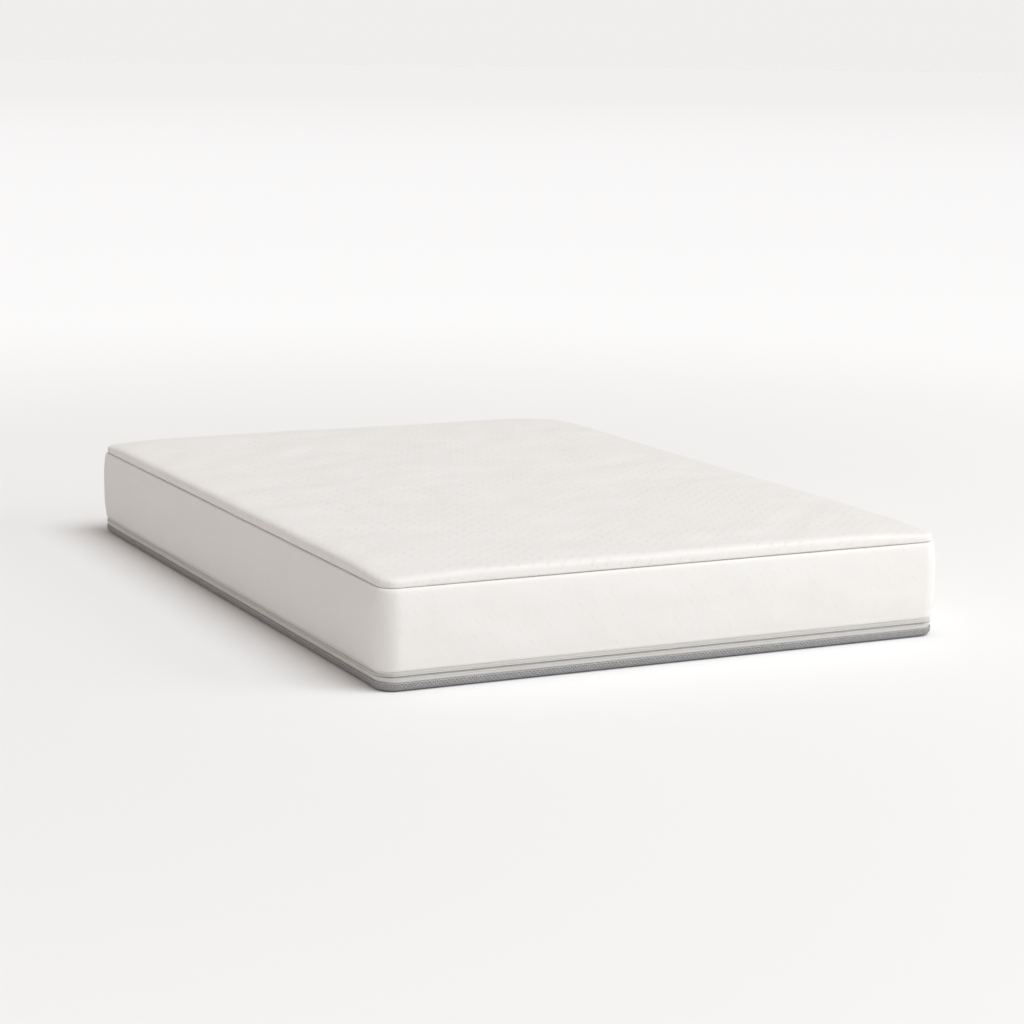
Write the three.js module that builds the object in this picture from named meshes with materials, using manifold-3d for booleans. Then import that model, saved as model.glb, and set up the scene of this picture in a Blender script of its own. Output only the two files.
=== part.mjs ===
// A double memory foam mattress: three glued foam layers in a fire sock, inside a removable
// knitted cover that zips together all round its lower edge.
// Millimetres, +Z up. The origin is the middle of the underside, on the surface the mattress lies on.
// +X is across the width and +Y is from the foot end to the head end.
//
// Every soft piece is swept round the same plan outline, a rectangle with rounded corners. A profile
// point is [offset, z]: offset is how far it lies outside that outline, so it is negative inside it.

import * as THREE from "three";
import { mergeVertices } from "three/addons/utils/BufferGeometryUtils.js";
import Module from "manifold-3d";

// ---- Overall size ----
const width = 1400;
const length = 2000;
const thickness = 250;
const cornerRadius = 50; // vertical corners, at the widest line of the border
const clearance = 0.3; // between pieces that touch
const cornerSteps = 6; // straight pieces in each vertical corner
const lipSteps = 3; // and in each of the profiles' arcs
const shoulderSteps = 6;
const bottomRollSteps = 5;
const lowerEdgeSteps = 3;
const innerCornerRadius = 10; // least corner radius of an outline drawn far inside
const middleInset = 400; // where the flat middle of a panel starts

// ---- Top panel: knit over wadding over backing ----
const knitThickness = 2.5;
const topSeamDrop = 30; // from the highest point of the top down to the top seam
const crownRise = 4; // from the shoulder of the top panel to its middle
const crownInset = 150; // where most of the crown's rise is reached
const shoulderWidth = 26; // the rolled edge, measured inwards
const crownLeft = 0.15; // share of the crown's rise that is left at crownInset
const panelInset = 11; // how far the rolled edge stays inside the border's widest line
const lipHeight = 4; // the part of the roll that tucks back under, above the seam
const uprightHeight = 11; // the straight part of the roll, above the lip
const seamInset = 15; // depth of the groove at the top seam
const seamAllowance = 4; // knit turned inwards at the seam, past the groove
const seamGap = 1.6; // between the two turned edges, filled by the sewing thread
const backingThickness = 1;

// ---- Border: knit over wadding ----
const borderInset = 6; // depth of the border's upper and lower edges
const borderLip = 5; // rounding of its upper edge, below the top seam
const borderSwell = 3; // exponent of the border's outward curve
const borderSteps = [0, 0.04, 0.1, 0.2, 0.35, 0.5, 0.65, 0.8, 0.9, 0.96, 1];

// ---- Zip ----
const coilHeight = 3.4; // one row of the chain, measured up the border
const coilThickness = 2.3;
const tapeGap = 0.5; // behind the border's lower edge
const tapeThickness = 1;
const tapeShown = 8; // tape seen above and below the chain
const tapeOverlap = 8; // tape hidden behind the edge it is sewn to
const zipParkInset = 60; // parked slider's middle, from the start of the head end's corner
const stopLength = 3;
const chainEndGap = 20; // bare tape between the closed end and the starting end
const threadHeight = 2;
const lowerThreadDrop = 2; // from the bottom panel's edge down to the middle of its stitching

// ---- Zip slider and pull ----
const sliderLength = 16;
const wingThickness = 1.2;
const flangeThickness = 1.1;
const sliderGap = 0.4; // slider to coil and slider to tape
const dividerThickness = 0.6;
const dividerLength = 5;
const bailLength = 10;
const bailWidth = 3;
const bailThickness = 1.1;
const pullLength = 30;
const pullThickness = 1.3;
const pullSideBar = 1.5; // on each side of the pull's hole
const pullSideGap = 0.5; // between the hole's sides and the arch
const pullSwingGap = 0.95; // between the hole's far edge and the arch, as the pull turns
const pullBarGap = 0.38; // round the end bar, inside the arch
const pullEndRadius = 3;

// ---- Bottom panel, sock and foam ----
const bottomThickness = 1.5;
const bottomEdgeTop = 20; // height that the bottom panel's edge is turned up to
const bottomEdgeGap = 1.5; // between that edge and the zip's lower tape, for the thread
const bottomRollWidth = 18;
const sockThickness = 1.5;
const sockRoom = 1.7; // between the slider's back wing and the sock
const sockTurnUnder = 115; // hem turned under the core; the middle of the underside stays open
const coreEdgeRadius = 8; // rounding of the core's lower edge
const memoryFoamThickness = 50;
const transitionFoamThickness = 50;

// ---- Heights that follow, from the floor up ----
const bottomRollHeight = bottomEdgeTop - tapeOverlap; // the turned edge is upright above it
const foamBottom = bottomThickness + sockThickness + 2 * clearance;
const chainSlot = dividerThickness + 2 * clearance; // between the rows, where the divider runs
const zipHeight = bottomEdgeTop + tapeShown + coilHeight + chainSlot / 2; // middle of the chain
const lowerCoilTop = zipHeight - chainSlot / 2;
const upperCoilFoot = zipHeight + chainSlot / 2;
const borderFoot = upperCoilFoot + coilHeight + tapeShown;
const seamHeight = thickness - topSeamDrop;
const borderTop = seamHeight - seamGap / 2; // upper side of the border's turned edge
const panelEdgeHeight = seamHeight + seamGap / 2; // underside of the top panel's turned edge
const backingTop = panelEdgeHeight + backingThickness;
const sockTop = panelEdgeHeight - clearance;
const foamTop = sockTop - sockThickness - clearance;

// ---- Depths that follow, from the outside in ----
const tapeInset = borderInset + knitThickness + tapeGap; // outer face of both tapes
const coilOuter = tapeInset - clearance - coilThickness;
const bottomEdgeInset = tapeInset - bottomEdgeGap - bottomThickness;
const rollCentreInset = bottomEdgeInset + bottomRollWidth;
const allowanceInset = seamInset + seamAllowance;
const sliderBackInset = tapeInset + tapeThickness + sliderGap + wingThickness;
const sockOuter = Math.max(sliderBackInset + sockRoom, allowanceInset + clearance);
const borderWaddingInner = sockOuter - clearance;
const sockInner = sockOuter + sockThickness;
const foamOuter = sockInner + clearance;
const coreRollInset = foamOuter + coreEdgeRadius;

// ---- Slider and pull sizes that follow ----
const sliderWidth = chainSlot + 2 * (coilHeight + sliderGap + flangeThickness);
const bailRoom = pullThickness * Math.SQRT2 + 2 * pullBarGap; // the pull's end bar turns in it
const pullHoleWidth = bailWidth + 2 * pullSideGap;
const pullWidth = pullHoleWidth + 2 * pullSideBar;
const pullHoleReach = Math.hypot(bailLength / 2, bailRoom / 2 + bailThickness) + pullSwingGap;
const sliderMiddle = width / 2 - cornerRadius - zipParkInset;
const chainStart = sliderMiddle + sliderLength / 2;
const chainEnd = chainStart + stopLength + chainEndGap + stopLength + 2 * clearance;
const headFace = length / 2;

// ---- Sweeping a profile round the plan outline ----

// One rounded corner of the outline, as [x, y] points in anticlockwise order.
// Corner 0 is at +X +Y, 1 at -X +Y, 2 at -X -Y and 3 at +X -Y.
function cornerArc(corner, offset) {
  const radius = Math.max(cornerRadius + offset, innerCornerRadius);
  const sideX = corner === 0 || corner === 3 ? 1 : -1;
  const sideY = corner < 2 ? 1 : -1;
  const centreX = sideX * (width / 2 + offset - radius);
  const centreY = sideY * (length / 2 + offset - radius);
  const points = [];
  for (let step = 0; step <= cornerSteps; step++) {
    const angle = ((corner + step / cornerSteps) * Math.PI) / 2;
    points.push([centreX + radius * Math.cos(angle), centreY + radius * Math.sin(angle)]);
  }
  return points;
}

function wholeOutline(offset) {
  return [0, 1, 2, 3].flatMap((corner) => cornerArc(corner, offset));
}

// The zip chain's way: from the closed end on the head side, once round the mattress,
// and back to the starting end beside it.
function chainOutline(offset) {
  const y = headFace + offset;
  const corners = [1, 2, 3, 0].flatMap((corner) => cornerArc(corner, offset));
  return [[chainStart, y], ...corners, [chainEnd, y]];
}

// Walls between each profile point and the next, along rings of equal length.
// Faces point out for a profile that runs anticlockwise, with offset drawn to the right and z up.
function closedMesh(rings, profileCloses, pathCloses) {
  const count = rings[0].length;
  const positions = rings.flat(2);
  const faces = [];
  const profileSteps = profileCloses ? rings.length : rings.length - 1;
  const pathSteps = pathCloses ? count : count - 1;
  for (let i = 0; i < profileSteps; i++) {
    const near = i * count;
    const far = ((i + 1) % rings.length) * count;
    for (let j = 0; j < pathSteps; j++) {
      const next = (j + 1) % count;
      faces.push(near + j, near + next, far + next);
      faces.push(near + j, far + next, far + j);
    }
  }
  return { positions, faces, count };
}

function toGeometry({ positions, faces }) {
  const geometry = new THREE.BufferGeometry();
  geometry.setAttribute("position", new THREE.Float32BufferAttribute(positions, 3));
  geometry.setIndex(faces);
  geometry.computeVertexNormals();
  return geometry;
}

function ringsOf(profile, outline) {
  return profile.map(([offset, z]) => outline(offset).map(([x, y]) => [x, y, z]));
}

// A band all round the mattress: the profile is closed.
function band(profile) {
  return toGeometry(closedMesh(ringsOf(profile, wholeOutline), true, true));
}

// A panel over the whole plan: the profile runs from the middle of its underside, out round the
// edge and back to the middle of its upper side. Both middles are flat.
function panel(profile) {
  const rings = ringsOf(profile, wholeOutline);
  const mesh = closedMesh(rings, false, true);
  const addMiddle = (ring, facesUp) => {
    const first = ring * mesh.count;
    const centre = mesh.positions.length / 3;
    mesh.positions.push(0, 0, profile[ring][1]);
    for (let j = 0; j < mesh.count; j++) {
      const a = first + j;
      const b = first + ((j + 1) % mesh.count);
      if (facesUp) mesh.faces.push(centre, a, b);
      else mesh.faces.push(centre, b, a);
    }
  };
  addMiddle(0, false);
  addMiddle(rings.length - 1, true);
  return toGeometry(mesh);
}

// A strip along the zip chain, with a four-sided profile and square ends.
function chainStrip(profile) {
  const mesh = closedMesh(ringsOf(profile, chainOutline), true, false);
  const corner = (index, end) => index * mesh.count + (end ? mesh.count - 1 : 0);
  mesh.faces.push(corner(0, false), corner(1, false), corner(2, false));
  mesh.faces.push(corner(0, false), corner(2, false), corner(3, false));
  mesh.faces.push(corner(0, true), corner(2, true), corner(1, true));
  mesh.faces.push(corner(0, true), corner(3, true), corner(2, true));
  return toGeometry(mesh);
}

// A four-sided profile, anticlockwise, between two depths inside the outline and two heights.
function rectangle(innerDepth, outerDepth, low, high) {
  return [
    [-innerDepth, low],
    [-outerDepth, low],
    [-outerDepth, high],
    [-innerDepth, high],
  ];
}

// Points on a quarter ellipse, from one angle in degrees to another.
function ellipseArc(centre, radii, fromDegrees, toDegrees, steps) {
  const points = [];
  for (let step = 0; step <= steps; step++) {
    const angle = THREE.MathUtils.degToRad(fromDegrees + ((toDegrees - fromDegrees) * step) / steps);
    points.push([centre[0] + radii[0] * Math.cos(angle), centre[1] + radii[1] * Math.sin(angle)]);
  }
  return points;
}

// ---- Solids cut and joined with manifold-3d ----
const wasm = await Module();
wasm.setup();

function toSolid(geometry) {
  const bare = geometry.clone();
  bare.deleteAttribute("normal");
  bare.deleteAttribute("uv");
  const merged = mergeVertices(bare, 1e-4);
  return new wasm.Manifold(
    new wasm.Mesh({
      numProp: 3,
      vertProperties: new Float32Array(merged.attributes.position.array),
      triVerts: new Uint32Array(merged.index.array),
    }),
  );
}

function fromSolid(solid) {
  const mesh = solid.getMesh();
  return toGeometry({ positions: Array.from(mesh.vertProperties), faces: Array.from(mesh.triVerts) });
}

function box(low, high) {
  const size = high.map((value, axis) => value - low[axis]);
  const middle = high.map((value, axis) => (value + low[axis]) / 2);
  return new THREE.BoxGeometry(...size).translate(...middle);
}

// ---- Top panel ----

// The top panel's curved face, moved inwards by `depth`, from its tucked lip up to the middle.
function topFace(depth) {
  const lipTop = panelEdgeHeight + lipHeight;
  const rollFoot = lipTop + uprightHeight;
  const rollHeight = thickness - crownRise - rollFoot - depth;
  const rollWidth = shoulderWidth - depth;
  const rollCentre = -(panelInset + shoulderWidth);
  const lipWidth = seamInset - panelInset - depth;
  const lip = ellipseArc([-seamInset, lipTop], [lipWidth, lipHeight - depth], -90, 0, lipSteps);
  const roll = ellipseArc([rollCentre, rollFoot], [rollWidth, rollHeight], 0, 90, shoulderSteps);
  return {
    lip,
    roll,
    middle: [
      [-crownInset, thickness - crownRise * crownLeft - depth],
      [-middleInset, thickness - depth],
    ],
  };
}

function topPanelKnit() {
  const outer = topFace(0);
  const inner = topFace(knitThickness);
  const inside = [...inner.lip, ...inner.roll, ...inner.middle].reverse();
  return panel([
    ...inside,
    [-allowanceInset, panelEdgeHeight + knitThickness],
    [-allowanceInset, panelEdgeHeight],
    ...outer.lip,
    ...outer.roll,
    ...outer.middle,
  ]);
}

function topPanelWadding() {
  const face = topFace(knitThickness + clearance);
  const underside = backingTop + clearance;
  const overEdge = panelEdgeHeight + knitThickness + clearance;
  return panel([
    [-middleInset, underside],
    [-(allowanceInset + clearance), underside],
    [-(allowanceInset + clearance), overEdge],
    ...face.lip,
    ...face.roll,
    ...face.middle,
  ]);
}

function topPanelBacking() {
  const edge = -(allowanceInset + clearance);
  return panel([
    [-middleInset, panelEdgeHeight],
    [edge, panelEdgeHeight],
    [edge, backingTop],
    [-middleInset, backingTop],
  ]);
}

function topSeamThread() {
  const half = seamGap / 2 - clearance;
  return band(
    rectangle(allowanceInset - clearance, seamInset + clearance, seamHeight - half, seamHeight + half),
  );
}

// ---- Border ----

// Outward curve of the border's outer face, moved inwards by `depth`, from its foot up.
// Only the stretch between two heights is kept.
function borderFace(depth, low, high) {
  const points = borderSteps.map((share) => {
    const z = borderFoot + (borderTop - borderFoot) * share;
    return [-borderInset * Math.abs(2 * share - 1) ** borderSwell - depth, z];
  });
  const atHeight = (z) => {
    const after = points.findIndex((point) => point[1] >= z);
    const [a, b] = [points[Math.max(after - 1, 0)], points[after]];
    const share = b[1] === a[1] ? 0 : (z - a[1]) / (b[1] - a[1]);
    return [a[0] + (b[0] - a[0]) * share, z];
  };
  const between = points.filter((point) => point[1] > low + clearance && point[1] < high - clearance);
  return [atHeight(low), ...between, atHeight(high)];
}

function borderKnit() {
  const lipFoot = borderTop - borderLip;
  const face = borderFace(0, borderFoot, lipFoot);
  const lipCentre = [face.at(-1)[0] - borderLip, lipFoot];
  const lipArc = (radius) => ellipseArc(lipCentre, [radius, radius], 0, 90, lipSteps).slice(1);
  return band([
    ...face,
    ...lipArc(borderLip),
    [-allowanceInset, borderTop],
    [-allowanceInset, borderTop - knitThickness],
    ...lipArc(borderLip - knitThickness).reverse(),
    ...borderFace(knitThickness, borderFoot, lipFoot).reverse(),
  ]);
}

function borderWadding() {
  const low = borderFoot + tapeOverlap + clearance;
  const high = borderTop - borderLip;
  return band([
    ...borderFace(knitThickness + clearance, low, high),
    [-borderWaddingInner, high],
    [-borderWaddingInner, low],
  ]);
}

// ---- Zip ----

function zipUpperTape() {
  const inner = tapeInset + tapeThickness;
  return band(rectangle(inner, tapeInset, upperCoilFoot, borderFoot + tapeOverlap));
}

function zipLowerTape() {
  const inner = tapeInset + tapeThickness;
  return band(rectangle(inner, tapeInset, bottomEdgeTop - tapeOverlap, lowerCoilTop));
}

function zipUpperCoil() {
  return chainStrip(
    rectangle(tapeInset - clearance, coilOuter, upperCoilFoot, upperCoilFoot + coilHeight),
  );
}

function zipLowerCoil() {
  return chainStrip(
    rectangle(tapeInset - clearance, coilOuter, lowerCoilTop - coilHeight, lowerCoilTop),
  );
}

// The stitching between a tape and the fabric edge in front of it, at one height.
function tapeThread(middle, fabricDepth) {
  return band(
    rectangle(
      tapeInset - clearance,
      fabricDepth + clearance,
      middle - threadHeight / 2,
      middle + threadHeight / 2,
    ),
  );
}

function upperTapeThread() {
  const middle = borderFoot + tapeOverlap / 2;
  const [fabric] = borderFace(knitThickness, middle - threadHeight / 2, borderTop);
  return tapeThread(middle, -fabric[0]);
}

function lowerTapeThread() {
  return tapeThread(bottomEdgeTop - lowerThreadDrop, bottomEdgeInset + bottomThickness);
}

// One end stop, clamped on the end of one or both rows of the chain.
function chainStop(from, low, high) {
  const face = headFace - tapeInset + clearance;
  return box([from, face, low], [from + stopLength, face + coilThickness + clearance, high]);
}

// ---- Slider and pull, on the head end's face ----
const sliderBack = headFace - tapeInset - tapeThickness - sliderGap; // front of the back wing
const sliderSeat = headFace - coilOuter + clearance; // back of the front wing
const wingFront = sliderSeat + wingThickness;
const hingeFace = wingFront + bailRoom / 2;

function zipSlider() {
  const half = sliderLength / 2;
  const low = zipHeight - sliderWidth / 2;
  const high = zipHeight + sliderWidth / 2;
  const flangeBack = headFace - tapeInset + sliderGap;
  const archTop = wingFront + bailRoom + bailThickness;
  const leg = (from, to) =>
    box([from, wingFront - clearance, zipHeight - bailWidth / 2], [to, archTop, zipHeight + bailWidth / 2]);
  const pieces = [
    box([-half, sliderSeat, low], [half, wingFront, high]),
    box([-half, sliderBack - wingThickness, low], [half, sliderBack, high]),
    box([-half, flangeBack, low], [half, wingFront, low + flangeThickness]),
    box([-half, flangeBack, high - flangeThickness], [half, wingFront, high]),
    box(
      [half - dividerLength, sliderBack - wingThickness, zipHeight - dividerThickness / 2],
      [half, wingFront, zipHeight + dividerThickness / 2],
    ),
    leg(-bailLength / 2, -bailLength / 2 + bailThickness),
    leg(bailLength / 2 - bailThickness, bailLength / 2),
    box(
      [-bailLength / 2, wingFront + bailRoom, zipHeight - bailWidth / 2],
      [bailLength / 2, archTop, zipHeight + bailWidth / 2],
    ),
  ];
  const body = pieces.map(toSolid).reduce((joined, piece) => joined.add(piece));
  return fromSolid(body);
}

// The pull lies along the chain. Its hole loops round the slider's arch, and the bar that closes
// the hole turns inside the arch.
function zipPull() {
  const half = pullWidth / 2;
  const bar = pullThickness / 2;
  const outline = new THREE.Shape();
  outline.moveTo(bar, -half);
  outline.lineTo(bar, half);
  outline.lineTo(-pullLength + pullEndRadius, half);
  outline.absarc(-pullLength + pullEndRadius, half - pullEndRadius, pullEndRadius, Math.PI / 2, Math.PI);
  outline.absarc(
    -pullLength + pullEndRadius,
    pullEndRadius - half,
    pullEndRadius,
    Math.PI,
    (3 * Math.PI) / 2,
  );
  outline.closePath();
  const hole = new THREE.Path();
  hole.moveTo(-bar, -pullHoleWidth / 2);
  hole.lineTo(-pullHoleReach, -pullHoleWidth / 2);
  hole.lineTo(-pullHoleReach, pullHoleWidth / 2);
  hole.lineTo(-bar, pullHoleWidth / 2);
  hole.closePath();
  outline.holes.push(hole);
  const geometry = new THREE.ExtrudeGeometry(outline, {
    depth: pullThickness,
    bevelEnabled: false,
    curveSegments: 4,
  });
  // The outline is drawn in X and Y and extruded along Z: stand it up so that Y becomes Z.
  return geometry.translate(0, 0, -pullThickness / 2).rotateX(Math.PI / 2);
}

// ---- Bottom panel ----

// The bottom panel's outer face, moved inwards by `depth`, from the middle out and up its edge.
function bottomFace(depth) {
  const centre = [-rollCentreInset, bottomRollHeight];
  const radii = [bottomRollWidth - depth, bottomRollHeight - depth];
  return [
    [-middleInset, depth],
    ...ellipseArc(centre, radii, -90, 0, bottomRollSteps),
    [-(bottomEdgeInset + depth), bottomEdgeTop],
  ];
}

function bottomPanel() {
  // The profile starts on the underside and comes back over the inner face.
  return panel([...bottomFace(0), ...bottomFace(bottomThickness).reverse()]);
}

// ---- Fire sock and foam ----

// The rounded lower edge of the sock or the core, from the flat underside up to the side.
function lowerEdge(inset, low) {
  const radii = [coreRollInset - inset, bottomRollHeight - low];
  return ellipseArc([-coreRollInset, bottomRollHeight], radii, -90, 0, lowerEdgeSteps);
}

function fireSock() {
  const low = bottomThickness + clearance;
  const hem = -(sockOuter + sockTurnUnder);
  return panel([
    [-middleInset, sockTop - sockThickness],
    [-sockInner, sockTop - sockThickness],
    ...lowerEdge(sockInner, low + sockThickness).reverse(),
    [hem, low + sockThickness],
    [hem, low],
    ...lowerEdge(sockOuter, low),
    [-sockOuter, sockTop],
    [-middleInset, sockTop],
  ]);
}

function foamLayer(low, high) {
  return panel([
    [-middleInset, low],
    [-foamOuter, low],
    [-foamOuter, high],
    [-middleInset, high],
  ]);
}

const memoryFoot = foamTop - memoryFoamThickness;
const transitionTop = memoryFoot - clearance;
const transitionFoot = transitionTop - transitionFoamThickness;
const coreTop = transitionFoot - clearance;

function supportFoamCore() {
  return panel([
    [-middleInset, foamBottom],
    ...lowerEdge(foamOuter, foamBottom),
    [-foamOuter, coreTop],
    [-middleInset, coreTop],
  ]);
}

// ---- Materials ----
function material(color, roughness, metalness = 0) {
  return new THREE.MeshStandardMaterial({ color, roughness, metalness });
}

const offWhiteKnit = 0xe8e6e1;
const fibreWhite = 0xf2f1ee;
const threadWhite = 0xdcdad5;
const zipGrey = 0xc9c8c6;
const nickel = 0xb9bbbd;
const baseGrey = 0x9a9a9c;

// ---- Assembly ----
const mattress = new THREE.Group();

function add(name, geometry, surface, parent = mattress) {
  const mesh = new THREE.Mesh(geometry, surface);
  mesh.name = name;
  parent.add(mesh);
  return mesh;
}

const topCover = new THREE.Group();
mattress.add(topCover);
add("top_panel_knit", topPanelKnit(), material(offWhiteKnit, 0.9), topCover);
add("top_panel_wadding", topPanelWadding(), material(fibreWhite, 0.95), topCover);
add("top_panel_backing", topPanelBacking(), material(fibreWhite, 0.95), topCover);
add("top_seam_thread", topSeamThread(), material(threadWhite, 0.8), topCover);
add("border_knit", borderKnit(), material(offWhiteKnit, 0.9), topCover);
add("border_wadding", borderWadding(), material(fibreWhite, 0.95), topCover);

const zip = new THREE.Group();
mattress.add(zip);
const stopFrom = chainStart + clearance;
const lowerRowFoot = lowerCoilTop - coilHeight;
const upperRowTop = upperCoilFoot + coilHeight;
add("zip_upper_tape", zipUpperTape(), material(zipGrey, 0.85), zip);
add("zip_lower_tape", zipLowerTape(), material(zipGrey, 0.85), zip);
add("zip_upper_coil", zipUpperCoil(), material(zipGrey, 0.5), zip);
add("zip_lower_coil", zipLowerCoil(), material(zipGrey, 0.5), zip);
add("zip_upper_thread", upperTapeThread(), material(threadWhite, 0.8), zip);
add("zip_lower_thread", lowerTapeThread(), material(threadWhite, 0.8), zip);
add("zip_top_stop_upper", chainStop(stopFrom, upperCoilFoot, upperRowTop), material(nickel, 0.35, 1), zip);
add("zip_top_stop_lower", chainStop(stopFrom, lowerRowFoot, lowerCoilTop), material(nickel, 0.35, 1), zip);
add(
  "zip_bottom_stop",
  chainStop(chainEnd - clearance - stopLength, lowerRowFoot, upperRowTop),
  material(nickel, 0.35, 1),
  zip,
);

const slider = new THREE.Group();
slider.position.set(sliderMiddle, 0, 0);
zip.add(slider);
add("zip_slider", zipSlider(), material(nickel, 0.35, 1), slider);
const pull = add("zip_pull", zipPull(), material(nickel, 0.35, 1), slider);
pull.position.set(0, hingeFace, zipHeight);

add("bottom_panel", bottomPanel(), material(baseGrey, 0.95));

const core = new THREE.Group();
mattress.add(core);
add("fire_sock", fireSock(), material(fibreWhite, 0.9), core);
add("memory_foam_layer", foamLayer(memoryFoot, foamTop), material(0xf3ecd6, 0.95), core);
add("transition_foam_layer", foamLayer(transitionFoot, transitionTop), material(0xe3e9ea, 0.95), core);
add("support_foam_core", supportFoamCore(), material(0xcfd6dc, 0.95), core);

export default mattress;
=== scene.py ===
"""A double memory foam mattress with a soft knitted cover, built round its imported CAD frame.

Lengths are metres unless a name or a comment says millimetres. +Y is the head end.
A profile is a list of (depth, height) points in millimetres: depth is measured inwards from the
plan outline, a rectangle with rounded corners, and the walk is the distance along the profile.
"""

import math

import bmesh
import bpy
import numpy as np
from mathutils import Matrix, Vector


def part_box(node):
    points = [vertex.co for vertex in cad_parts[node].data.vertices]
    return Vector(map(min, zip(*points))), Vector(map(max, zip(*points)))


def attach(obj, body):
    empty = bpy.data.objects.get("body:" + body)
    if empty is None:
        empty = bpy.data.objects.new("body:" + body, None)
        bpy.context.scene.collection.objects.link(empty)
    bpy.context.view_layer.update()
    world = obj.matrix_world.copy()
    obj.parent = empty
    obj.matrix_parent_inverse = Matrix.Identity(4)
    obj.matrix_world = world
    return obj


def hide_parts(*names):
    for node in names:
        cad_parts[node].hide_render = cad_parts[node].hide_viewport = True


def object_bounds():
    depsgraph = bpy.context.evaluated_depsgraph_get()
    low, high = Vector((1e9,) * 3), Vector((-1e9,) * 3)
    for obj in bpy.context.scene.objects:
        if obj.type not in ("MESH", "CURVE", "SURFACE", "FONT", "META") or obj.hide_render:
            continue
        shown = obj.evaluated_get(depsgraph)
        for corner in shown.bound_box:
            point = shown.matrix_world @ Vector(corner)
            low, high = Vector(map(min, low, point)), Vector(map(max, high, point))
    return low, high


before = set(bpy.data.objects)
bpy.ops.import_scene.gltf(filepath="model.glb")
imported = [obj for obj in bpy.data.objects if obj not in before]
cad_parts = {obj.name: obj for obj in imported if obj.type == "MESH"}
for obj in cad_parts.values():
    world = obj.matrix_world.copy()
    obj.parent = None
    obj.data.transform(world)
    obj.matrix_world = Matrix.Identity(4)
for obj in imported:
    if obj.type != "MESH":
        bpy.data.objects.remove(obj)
cad_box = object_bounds()

# ---- Sizes that come from the frame ----
MM = 0.001
WIDTH, LENGTH = (cad_box[1] - cad_box[0]).xy
CORNER_RADIUS = 50 * MM  # of the plan outline
TIGHTEST_CORNER = 10 * MM  # lines far inside the outline turn their corners on this radius
FLAT_X, FLAT_Y = WIDTH / 2 - CORNER_RADIUS, LENGTH / 2 - CORNER_RADIUS
BORDER_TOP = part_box("border_knit")[1].z
BORDER_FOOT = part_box("border_knit")[0].z
PANEL_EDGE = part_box("top_panel_knit")[0].z
SEAM = (BORDER_TOP + PANEL_EDGE) / 2
TAPE_DEPTH = WIDTH / 2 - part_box("zip_upper_tape")[1].x

# ---- Fabric ----
KNIT_THICKNESS = 2.3 * MM
BOTTOM_THICKNESS = 1.5 * MM
CLOSING_SEAM_X = -0.38  # where the border strip's two ends are joined, on the head end
MATTRESS = "mattress"
WELD = 0.001 * MM  # points nearer than this are one

# Top panel, from the edge turned in at the seam, up its side, over the roll, to the middle.
TOP_PROFILE = [
    (19, 0), (14.2, 0), (12.4, 0.25), (11.4, 0.9), (11, 2.2), (11, 5), (11, 9), (11.1, 13.4), (11.7, 17),
    (13.4, 20.2), (16.4, 22.8), (20.8, 24.9), (27, 26.5), (36, 27.7), (50, 28.4), (80, 28.9), (140, 29.3),
    (260, 29.6), (400, 29.7), (1000, 29.7),
]
CORNER_SAG = 6.5 * MM  # how much lower the top panel lies at its corners
CORNER_SOFT, CORNER_FIRM = 20 * MM, 190 * MM  # distances from a corner between which it sags
CROWN_LOW, CROWN_HIGH = 0.35, 0.97  # shares of a panel's height between which its crown falls both ways
# Bends of the border's cloth at the seam and at its hem, as (depth, distance from the edge).
BORDER_LIP = [(19, 0), (12.2, 0), (10.2, 0.15), (8.6, 0.7), (7.2, 1.8), (6.3, 3.6)]
BORDER_HEM = [(4.8, 4), (5.3, 1.4), (6.2, 0.2), (7.2, 0.5)]
BORDER_INSET = 6  # depth that its swell falls back to at the top and at the foot
BORDER_SWELL = 3  # exponent of its outward curve
BORDER_FACE = 0.965, 0.06, 15  # shares of its height where the face starts and ends, and its points
# Bottom panel, from its upright edge down and round to the middle of the underside.
BOTTOM_PROFILE = [
    (6, 0), (6, 4), (6, 8), (6.7, 11.4), (8.6, 14.7), (12, 17.4), (17, 19.3), (24, 20), (50, 20),
    (1000, 20),
]
BOTTOM_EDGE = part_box("bottom_panel")[1].z
SEAM_STITCH_DEPTH = 13.4 * MM
SEAM_STITCH_DIP = 1.5 * MM


def smoothstep(low, high, value):
    share = np.clip((value - low) / (high - low), 0, 1)
    return share * share * (3 - 2 * share)


def smooth_interp(old, values, new):
    """Values known at the places old, read at the places new along a smooth curve."""
    shape = (-1,) + (1,) * (values.ndim - 1)
    rises = np.diff(values, axis=0) / np.diff(old).reshape(shape)
    before, after = rises[:-1], rises[1:]
    # The harmonic mean keeps the curve between its points.
    agree = before * after > 0
    inner = np.where(agree, 2 * before * after / np.where(agree, before + after, 1), 0)
    slope = np.concatenate([rises[:1], inner, rises[-1:]])
    i = np.clip(np.searchsorted(old, new, side="right") - 1, 0, len(old) - 2)
    gap = (old[i + 1] - old[i]).reshape(shape)
    t = ((new - old[i]).reshape(shape)) / gap
    start, end = values[i], values[i + 1]
    leave, arrive = slope[i] * gap, slope[i + 1] * gap
    return (
        start * (2 * t**3 - 3 * t**2 + 1)
        + leave * (t**3 - 2 * t**2 + t)
        + end * (3 * t**2 - 2 * t**3)
        + arrive * (t**3 - t**2)
    )


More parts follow.
